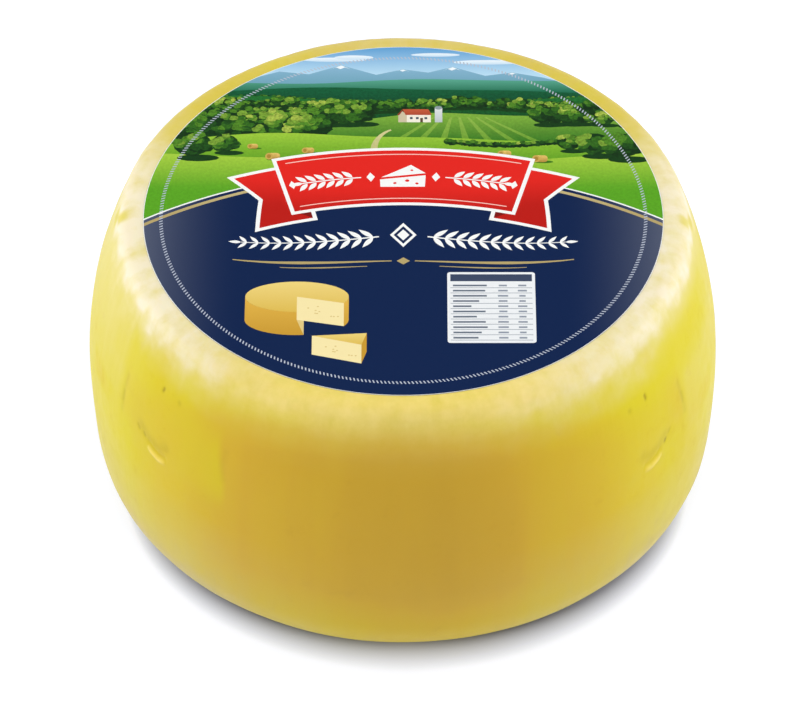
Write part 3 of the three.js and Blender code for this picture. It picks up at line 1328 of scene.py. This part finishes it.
    def near_land(self) -> None:
        """Draws the near fields: hedges, a farmhouse, trees, a winding track and hay bales."""
        self.farmhouse(-2.0, 55.5)
        self.wood(-92, -16, 53.0, 11.0)
        self.wood(56, 90, 53.0, 10.0)
        self.wood(-96, -34, 46.5, 13.0)
        self.land((46.5, 2.0, 27, 3.1), "#4f9a1c", "#9ac53a", 32, 49, leafy=0.15)
        self.land((41.0, 1.6, 34, 1.2), "#468f1a", "#84b62f", 28, 43, leafy=0.15)
        self.land((34.5, 2.2, 38, 4.4), "#57a01f", "#a3c93f", 16, 37, leafy=0.15)
        track = scroll(-8, 26, 118, 28, (-1.2, -5.5), 24)
        self.paint(stroke(track, np.linspace(5.0, 0.8, 24)), "#a9ad5c", "#cfc88e", 26, 50, leafy=0.1)
        u = np.linspace(18, 92, 52)
        self.hedge(np.stack([u, 43.0 + 1.4 * np.sin(u / 11 + 1)], axis=1), 1.8, 0.04)
        trees = ((-84, 34, 17, 0.04), (-71, 37, 12, 0.14), (66, 38, 11, 0.14), (76, 35, 15, 0.08))
        for tree in (*trees, (87, 33, 17, 0.0)):
            self.tree(*tree)
        for bale in ((-52, 35, 5.0), (-38, 38.5, 4.2), (-60, 41, 3.6), (40, 36.5, 4.6), (54, 33.5, 5.2)):
            self.bale(*bale)

    def farmhouse(self, u: float, v: float) -> None:
        """Draws a farmhouse and its silo.

        Args:
            u: their lower left corner's place across.
            v: that corner's place up.
        """
        silo, dome = oblong(16.1, 4.4, 3.0, 8.8), ellipse(16.1, 8.8, 1.5, 1.1, 14)
        wall, door = oblong(8.2, 2.35, 9.6, 4.7), oblong(9.3, 1.3, 1.1, 2.6)
        gable = [[0, 0], [3.4, 0], [3.4, 4.6], [1.7, 6.6], [0, 4.6]]
        roof = [[2.9, 4.4], [13.4, 4.4], [12.0, 7.9], [1.7, 7.9]]
        verge = [[-0.5, 4.4], [0.3, 4.2], [1.75, 6.9], [1.7, 7.9]]
        shapes = (
            (silo, "#b9c2c4", "#dfe4e3", v, v + 9),
            (dome, "#8c9a9e"),
            (wall, "#efe9d8"),
            (gable, "#cbbf9f"),
            (roof, "#a8452b", "#c45b3a", v + 4, v + 8),
            (verge, "#8e3a24"),
            *((oblong(across, 2.5, 1.1, 1.3), "#42505a") for across in (5.2, 7.6, 11.0)),
            (door, "#5b4630"),
        )
        for outline, *inks in shapes:
            self.paint(np.array(outline) + (u, v), *inks)

    def bale(self, u: float, v: float, size: float) -> None:
        """Draws a round hay bale on the meadow, with its shadow.

        Args:
            u: its middle's place across.
            v: its middle's place up.
            size: its width.
        """
        self.paint(ellipse(u + 0.3 * size, v - 0.36 * size, 0.75 * size, 0.16 * size, 16), "#3a7419")
        straw = oblong(u + 0.12 * size, v, size, 0.8 * size, 0.3 * size)
        self.paint(straw, "#a98335", "#e2c069", v - 0.4 * size, v + 0.4 * size, leafy=0.25)
        for wide, tall, count, shade in ((0.3, 0.4, 18, "#c8a552"), (0.17, 0.24, 14, "#a98335")):
            self.paint(ellipse(u - 0.26 * size, v, wide * size, tall * size, count), shade)

    def on_arch(self, flat: Array) -> Array:
        """Bends a flat drawing round the arch: across runs along it, and up runs straight out from it."""
        lean, out = flat[:, 0] / self.arch_radius, self.arch_radius + flat[:, 1]
        return np.stack([out * np.sin(lean), self.arch_top - self.arch_radius + out * np.cos(lean)], axis=1)

    def band(self, left: float, right: float, low: float, high: float) -> Array:
        """Gives a band bent round the arch.

        Args:
            left: its left end, along the arch.
            right: its right end.
            low: its lower edge, out from the arch.
            high: its upper edge.

        Returns:
            The outline.
        """
        across = np.linspace(left, right, max(2, int((right - left) / 2)))
        edges = [np.stack([across, np.full(len(across), edge)], axis=1) for edge in (low, high)]
        return self.on_arch(np.concatenate([edges[0], edges[1][::-1]]))

    def navy_field(self) -> None:
        """Draws the navy field below the arch, with a white and a gold line along its edge."""
        far = 112.0
        edge = self.band(-far, far, -0.35, 0.35)
        below = edge[: len(edge) // 2]
        corners = [[-far, -far], [far, -far]]
        # the navy pales towards left and right: a painted sheen
        self.paint(np.concatenate([corners, below[::-1]]), self.navy, self.navy_sheen, 62, 102, Fade.OUTWARD)
        self.paint(edge, self.white)
        self.paint(self.band(-far, far, -3.4, -1.9), self.gold, "#cdbf8c", 0, 30)

    def cord(self) -> None:
        """Draws a twisted cord just inside the rim, as short slanting strokes."""
        for turn in np.arange(0, 359.9, 0.9):
            low = arc((0, 0), self.cord_radius - 0.7, turn, turn + 0.34, 2)
            high = arc((0, 0), self.cord_radius + 0.7, turn + 0.74, turn + 0.4, 2)
            self.paint(np.concatenate([low[:1], high[1:], high[:1], low[1:]]), "#b4bccb")

    def both_sides(self, outline: Array, *inks: object, **more: object) -> None:
        """Paints a shape and its mirror image across v."""
        self.paint(outline, *inks, **more)
        self.paint(outline[::-1] * (-1, 1), *inks, **more)

    def garland(self) -> None:
        """Draws the white garland under the ribbon: two leafy sprays from a lozenge."""
        stem = scroll(9.5, -12.5, -9, 54, (0.1, 0.45), 25)
        self.both_sides(stroke(stem, np.linspace(0.7, 0.4, len(stem))), self.white)
        heading = np.degrees(np.arctan2(*np.gradient(stem, axis=0).T[::-1]))
        for i in range(1, len(stem) - 1, 2):
            length = 7.4 - 2.8 * i / len(stem)
            for side in (-1, 1):
                lean = heading[i] + side * 46
                self.both_sides(leaf(*stem[i], lean, length, length * 0.3), self.white)
        self.both_sides(leaf(*stem[-1], heading[-1], 5.0, 1.6), self.white)
        self.paint(lozenge(0, -11.5, 5.2, 7.0), self.white)
        self.paint(lozenge(0, -11.5, 3.8, 5.1), self.navy)
        self.paint(lozenge(0, -11.5, 2.4, 3.2), self.white)

    def flourish(self) -> None:
        """Draws the gold flourish under the garland: to each side a long tapered line and a short one."""
        line = scroll(4.5, -26.5, -2, 62, (-0.1, 0.5), 32)
        self.both_sides(stroke(line, np.interp(np.arange(32), [0, 18, 31], [0.5, 1.6, 0.5])), self.gold)
        fine = scroll(14, -29.6, -3, 34, (-0.1, 0.6), 20)
        self.both_sides(stroke(fine, np.interp(np.arange(20), [0, 10, 19], [0.3, 0.7, 0.3])), self.gold)
        self.paint(lozenge(0, -26.5, 2.6, 2.0), self.gold)

    def cut_cheese(self, u: float, v: float) -> None:
        """Draws a cut cheese with its wedge in front of it, from the middle of its top.

        Args:
            u: that place across.
            v: that place up.
        """
        wide, tall, drop, first, last = 20.0, 8.6, 13.0, 278, 335
        rind, cut, cut_shade, skin = "#c4952f", "#f2e2a8", "#dcc480", "#dab851"
        middle, down = np.array([u, v]), np.array([0, -drop])
        front = arc((0, 0), 1, 180, 360, 30) * (wide, tall) + middle
        self.paint(np.concatenate([front + down, front[::-1]]), rind, "#dcae45", v - 22, v - 2)
        self.paint(ellipse(u, v, wide, tall, 44), skin, "#ead07a", v - 8, v + 8)
        rim = arc((0, 0), 1, first, last, 12) * (wide, tall) + middle
        self.paint(np.concatenate([[middle], rim[:1], rim + down, rim[-1:]]), self.navy)
        self.paint([middle + down, rim[0] + down, rim[0], middle], cut_shade)
        self.paint([middle, middle + down, rim[-1] + down, rim[-1]], cut)
        tip, right, back = middle + (6, -22), middle + (25, -27), middle + (27, -20.5)
        self.paint([tip, tip + 0.8 * down, right + 0.8 * down, right], cut)
        self.paint([right, right + 0.8 * down, back + 0.8 * down, back], rind)
        self.paint([tip, right, back], skin, "#ead07a", v - 27, v - 20)
        rng = np.random.default_rng(self.seed + 1)
        for across, up in zip(rng.uniform(3, 16, 9), rng.uniform(-0.75, -0.2, 9)):
            for right, low, slope, deep in ((0, 0, 0.2, 1), (7, 22.6, 0.26, 0.8)):
                level = v - low - slope * across + deep * up * drop
                self.paint(ellipse(u + right + across, level, 0.45, 0.35, 7), cut_shade)

    def ruled_panel(self, u: float, v: float) -> None:
        """Draws a white panel with rules and short grey bars, from its middle.

        Args:
            u: that place across.
            v: that place up.
        """
        wide, tall, rows = 34.0, 40.0, 11
        rng = np.random.default_rng(self.seed + 2)
        self.paint(oblong(u, v, wide, tall, 1.2), "#e9ecee")
        self.paint(oblong(u, v + tall / 2 - 3.2, wide - 2.4, 4.0), "#3a4660")
        for row in range(rows):
            level = v + tall / 2 - 7.6 - row * 2.95
            self.paint(oblong(u, level - 1.3, wide - 2.4, 0.28), "#7d8694")
            long = rng.uniform(7, 14)
            self.paint(oblong(u - wide / 2 + 2.2 + long / 2, level, long, 0.95), "#66707f")
            for column, short in ((4.5, 3.4), (12.0, 3.0)):
                self.paint(oblong(u + column, level, short * rng.uniform(0.8, 1.2), 0.95), "#8b94a1")

    def ribbon(self) -> None:
        """Draws the red ribbon: folded tails, the arched band, and white ornaments on it."""
        low, high, half, key = -19.5, 11.5, 48.0, 1.6
        notch = (high + low) / 2 - 5.2
        tail = np.array([[41, low - 5.2], [66, low - 5.2], [59, notch], [66, high - 5.2], [41, high - 5.2]])
        across = np.concatenate([np.linspace(a, b, 9)[:-1] for a, b in zip(tail, np.roll(tail, -1, axis=0))])
        bent = self.on_arch(across)
        self.both_sides(grow(bent, key), self.white)
        self.both_sides(bent, self.deep_red, self.red, 6, 22)
        fold = self.on_arch(np.array([[41, low - 5.2], [half, low], [41, low]]))
        self.both_sides(fold, self.fold_red)
        body = self.band(-half, half, low, high)
        self.paint(grow(body, key), self.white)
        self.paint(body, self.deep_red, self.red, 0, 16)
        for edge in (low + 2.2, high - 2.6):
            self.paint(self.band(-half + 3, half - 3, edge, edge + 0.5), "#f2c7bd")
        middle = (low + high) / 2
        self.ear(17.0, 41.0, middle)
        for outline in (lozenge(45, middle, 1.5, 2.4), lozenge(13.2, middle, 1.7, 2.7)):
            self.both_sides(self.on_arch(outline), self.white)
        side = np.array([[-9.5, -6.0], [9.0, -6.0], [9.0, 0.8], [-9.5, -1.6]]) + (0, middle)
        top = np.array([[-9.0, -0.4], [9.0, 2.0], [3.0, 6.8]]) + (0, middle)
        self.paint(self.on_arch(side), self.white)
        self.paint(self.on_arch(top), self.white)
        for across, up, size in ((-3.5, -4.0, 0.7), (1.6, -2.6, 0.9), (5.6, -4.2, 0.7), (3.4, 3.6, 0.6)):
            self.paint(self.on_arch(ellipse(across, middle + up, size, size * 0.85, 10)), self.red)

    def ear(self, start: float, end: float, level: float) -> None:
        """Draws an ear of wheat along the arch at each side, as pairs of plump grains on a stem.

        Args:
            start: where its stem starts along the arch.
            end: where its last grain starts.
            level: how far out from the arch it lies.
        """
        path = np.stack([np.linspace(start, end, 14), np.full(14, level)], axis=1)
        self.both_sides(self.on_arch(stroke(path, 0.6)), self.white)
        for across in np.arange(start + 3.5, end, 3.7):
            for side in (-1, 1):
                grain = leaf(across, level + side * 0.5, side * 44, 5.6, 2.1)
                self.both_sides(self.on_arch(grain), self.white)
        self.both_sides(self.on_arch(leaf(end - 0.2, level, 0, 5.0, 2.0)), self.white)


@dataclass
class PrintedLabel:
    """The round label on the wheel's top."""

    spacing: float = 4.0  # mm, between the points that let the paper ripple and the inks shade
    row: float = 0.866  # how far apart their rows are for that
    margin: float = 2.0  # mm, from the rim to the outermost of them
    weld: float = 1e-5  # mm, how near two corners are to be one
    ripple: float = 0.06  # mm, how high the paper ripples
    ripple_sizes: tuple[float, float] = (26.0, 11.0)  # mm, across a ripple and across a finer one
    fine_share: float = 0.4  # how high the finer ones are for the others
    art: LabelArt = field(default_factory=LabelArt)
    print_finish: LaminatedPrint = field(default_factory=LaminatedPrint)
    edge_finish: CutPaper = field(default_factory=CutPaper)

    def arrange(self, patches: list[Patch]) -> tuple[Array, Array, Array]:
        """Cuts the overlapping shapes into triangles that each show one ink.

        A triangle shows the last painted shape that covers it. Outside the print's edge it shows the paper.

        Args:
            patches: the shapes from the lowest ink to the uppermost.

        Returns:
            The vertices, the triangles, and the number of the shape that each triangle shows.
        """
        outlines = [self.anticlockwise(patch.outline) for patch in patches]
        rows = int(self.art.radius / self.spacing) + 1
        across, up = np.meshgrid(np.arange(-rows, rows + 1.0), np.arange(-rows, rows + 1.0))
        across = (across + 0.5 * (up % 2)) * self.spacing
        loose = np.stack([across, up * self.spacing * self.row], axis=2).reshape(-1, 2)
        loose = loose[np.hypot(*loose.T) < self.art.radius - self.margin]
        ends = np.cumsum([len(outline) for outline in outlines])
        rings = [list(range(end - len(outline), end)) for end, outline in zip(ends, outlines)]
        corners = np.concatenate([*outlines, loose]).tolist()
        places, _, triangles, _, _, covers = delaunay_2d_cdt(corners, [], rings, 1, self.weld, True)
        shown = np.array([(max(cover) if 1 in cover else 0) if 0 in cover else -1 for cover in covers])
        return np.array(places), np.array(triangles)[shown >= 0], shown[shown >= 0]

    @staticmethod
    def anticlockwise(outline: Array) -> Array:
        """Turns an outline round if its signed area is negative."""
        (u, v), (next_u, next_v) = outline.T, np.roll(outline, -1, axis=0).T
        return outline if np.sum(u * next_v - next_u * v) > 0 else outline[::-1]

    def inks_at(self, patches: list[Patch], shown: Array, corners: Array) -> tuple[Array, Array]:
        """Works out the ink at each corner of each triangle.

        The share of the ink's second colour runs from 0 to 1 between its two ends: evenly where it fades up
        the label, and as the square of that where it fades outwards from the middle line.

        Args:
            patches: the shapes.
            shown: the number of the shape that each triangle shows.
            corners: the triangles' corners in millimetres, by triangle, corner and axis.

        Returns:
            The colour and the leafiness, one row a corner.
        """
        inks = [patch.ink for patch in patches]
        first = np.array([linear(ink.first) for ink in inks])[shown, None]
        second = np.array([linear(ink.second or ink.first) for ink in inks])[shown, None]
        numbers = np.array([(ink.start, ink.end, ink.leafy) for ink in inks])
        start, end, leafy = numbers.T[:, shown, None]
        outward = np.array([ink.fade is Fade.OUTWARD for ink in inks])[shown, None]
        along = np.where(outward, np.abs(corners[:, :, 0]), corners[:, :, 1])
        share = np.clip((along - start) / (end - start), 0, 1)
        share = np.where(outward, share**2, share)[:, :, None]
        colours = first * (1 - share) + second * share
        return colours.reshape(-1, 4), np.repeat(leafy, 3)

    def build(self) -> bpy.types.Object:
        """Builds the label as a thin closed disc whose printed face ripples slightly.

        The face's height is the middle of the paper's space plus low random relief.

        Returns:
            The mesh, with its ink colours as attributes.
        """
        low, high = (corner.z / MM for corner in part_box("top_label"))
        patches = self.art.draw()
        flat, triangles, shown = self.arrange(patches)
        edges = np.concatenate([triangles[:, [0, 1]], triangles[:, [1, 2]], triangles[:, [2, 0]]])
        keys = np.sort(edges, axis=1) @ np.array([len(flat), 1])
        _, first, counts = np.unique(keys, return_index=True, return_counts=True)
        rim = edges[first[counts == 1]]

        level = np.concatenate([flat, np.zeros((len(flat), 1))], axis=1)
        coarse, fine = (Lattice(seed).at(level, size) for seed, size in zip((31, 32), self.ripple_sizes))
        relief = coarse + self.fine_share * fine
        face = np.concatenate([flat, ((low + high) / 2 + self.ripple * relief)[:, None]], axis=1)
        foot = np.concatenate([flat, np.full((len(flat), 1), low)], axis=1)
        places = np.concatenate([face, foot, [[0, 0, low]]])
        count = len(flat)
        wall = np.stack([rim[:, 0] + count, rim[:, 1] + count, rim[:, 1], rim[:, 0]], axis=1)
        back = np.stack([np.full(len(rim), 2 * count), rim[:, 1] + count, rim[:, 0] + count], axis=1)
        used = np.concatenate([block.ravel() for block in (triangles, wall, back)])
        kept, numbers = np.unique(used, return_inverse=True)
        blocks = np.split(numbers.ravel(), np.cumsum([triangles.size, wall.size]))
        faces = [block.reshape(-1, sides) for block, sides in zip(blocks, (3, 4, 3))]
        piece = mesh_object("label", places[kept], faces)

        colours, leafy = self.inks_at(patches, shown, flat[triangles])
        bare = wall.size + back.size
        paper = np.tile(linear(self.edge_finish.white), (bare, 1))
        set_attribute(piece, "ink", "FLOAT_COLOR", "CORNER", np.concatenate([colours, paper]))
        set_attribute(piece, "leafy", "FLOAT", "CORNER", np.append(leafy, np.zeros(bare)))
        finish = np.concatenate([np.zeros(len(triangles)), np.ones(len(wall) + len(back))])
        piece.data.polygons.foreach_set("material_index", finish.astype(np.int32))
        return piece

    def dress(self, piece: bpy.types.Object) -> None:
        """Gives the label its print and its cut edge, and tells the frame what it stands for.

        Args:
            piece: the label.
        """
        piece.data.materials.append(self.print_finish.material())
        piece.data.materials.append(self.edge_finish.material())
        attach(piece, "root")
        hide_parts("top_label")


@dataclass(frozen=True)
class Softbox:
    """A rectangular studio light: where it stands, its size and its brightness."""

    name: str
    place: tuple[float, float, float]  # metres
    size: tuple[float, float]  # metres, across and up
    power: float  # watts from each square metre

    def build(self, aim: Vector) -> None:
        """Builds the light, turned towards a point.

        Args:
            aim: the point.
        """
        light = bpy.data.lights.new(self.name, "AREA")
        light.shape = "RECTANGLE"
        light.size, light.size_y = self.size
        light.energy = self.power * self.size[0] * self.size[1]
        lamp = bpy.data.objects.new(self.name, light)
        lamp.location = self.place
        lamp.rotation_euler = (aim - Vector(self.place)).to_track_quat("-Z", "Y").to_euler()
        bpy.context.scene.collection.objects.link(lamp)


@dataclass(frozen=True)
class ProductCamera:
    """The camera: a long lens that looks down on the label from in front."""

    distance: float = 2.2  # metres from the wheel's middle
    elevation: float = 43.24  # degrees
    focal_pixels: float = 5497.0  # the focal length in pixels of the image
    aim_pixel: tuple[float, float] = (403.3, 335.5)  # where the wheel's middle falls in the image
    sensor: float = 36.0  # millimetres

    def build(self, aim: Vector) -> None:
        """Builds the camera and makes it the scene's own.

        It looks at the wheel's middle, and is then turned up and aside until that falls where it should.

        Args:
            aim: the wheel's middle.
        """
        lean = math.radians(self.elevation)
        forward = Vector((0, math.cos(lean), -math.sin(lean)))
        place = aim - forward * self.distance
        across = self.aim_pixel[0] - IMAGE_SIZE[0] / 2
        down = self.aim_pixel[1] - IMAGE_SIZE[1] / 2
        right = Vector((1, 0, 0))
        forward = Matrix.Rotation(math.atan(down / self.focal_pixels), 3, right) @ forward
        upward = right.cross(forward)
        forward = Matrix.Rotation(math.atan(across / self.focal_pixels), 3, upward) @ forward
        right = forward.cross(upward)
        lens = bpy.data.cameras.new("camera")
        lens.sensor_fit = "HORIZONTAL"
        lens.sensor_width = self.sensor
        lens.lens = self.focal_pixels / IMAGE_SIZE[0] * self.sensor
        lens.clip_start, lens.clip_end = 0.05, 60.0
        camera = bpy.data.objects.new("camera", lens)
        facing = Matrix((right, upward, -forward)).transposed().to_4x4()
        camera.matrix_world = Matrix.Translation(place) @ facing
        bpy.context.scene.collection.objects.link(camera)
        bpy.context.scene.camera = camera


@dataclass
class Studio:
    """The table, the softboxes, the room's own light and the camera."""

    floor_half: float = 12.0  # metres
    room: float = 0.1
    seen_room: float = 0.9
    softboxes: tuple[Softbox, ...] = (
        Softbox("top", (0.0, 0.0, 1.5), (1.6, 1.4), 3.8),
        Softbox("left", (-1.25, 0.15, 0.62), (1.2, 0.9), 11.4),
        Softbox("right", (1.25, 0.15, 0.62), (1.2, 0.9), 11.3),
        Softbox("front", (0.0, -1.15, 1.45), (1.2, 0.8), 10.0),
        Softbox("back", (0.0, 1.5, 0.45), (1.6, 0.6), 3.0),
    )
    table: FrostedAcrylic = field(default_factory=FrostedAcrylic)
    camera: ProductCamera = field(default_factory=ProductCamera)

    def build(self) -> None:
        """Builds the table, the lights, the room and the camera."""
        half = self.floor_half / MM
        corners = np.array([[-half, -half, 0], [half, -half, 0], [half, half, 0], [-half, half, 0]])
        floor = mesh_object("table_top", corners, [np.array([[0, 1, 2, 3]])])
        floor.data.materials.append(self.table.material())
        aim = (CAD_BOX[0] + CAD_BOX[1]) / 2
        aim.x = aim.y = 0.0
        for softbox in self.softboxes:
            softbox.build(aim)
        self.camera.build(aim)
        self.room_light()
        bpy.context.scene.view_settings.view_transform = "Standard"

    def room_light(self) -> None:
        """Lights the scene evenly from all round, and shows a paler wall where the camera sees the room."""
        world = bpy.data.worlds.new("studio")
        bpy.context.scene.world = world
        world.use_nodes = True
        tree = world.node_tree
        tree.nodes.clear()
        seen = add_node(tree, "LightPath", {}, "Is Camera Ray")
        strength = add_node(tree, "Mix", {0: seen, 2: self.room, 3: self.seen_room}, data_type="FLOAT")
        wall = add_node(tree, "Background", {"Color": linear("#ffffff"), "Strength": strength})
        add_node(tree, "OutputWorld", {"Surface": wall})


def main() -> None:
    """Builds the studio, the cheese and its label."""
    logging.basicConfig(level=logging.INFO, format="%(name)s: %(message)s")
    Studio().build()
    for sub_assembly in (CheeseWheel(), PrintedLabel()):
        piece = sub_assembly.build()
        sub_assembly.dress(piece)
        log.info("%s has %d faces", piece.name, len(piece.data.polygons))


if __name__ == "__main__":
    main()
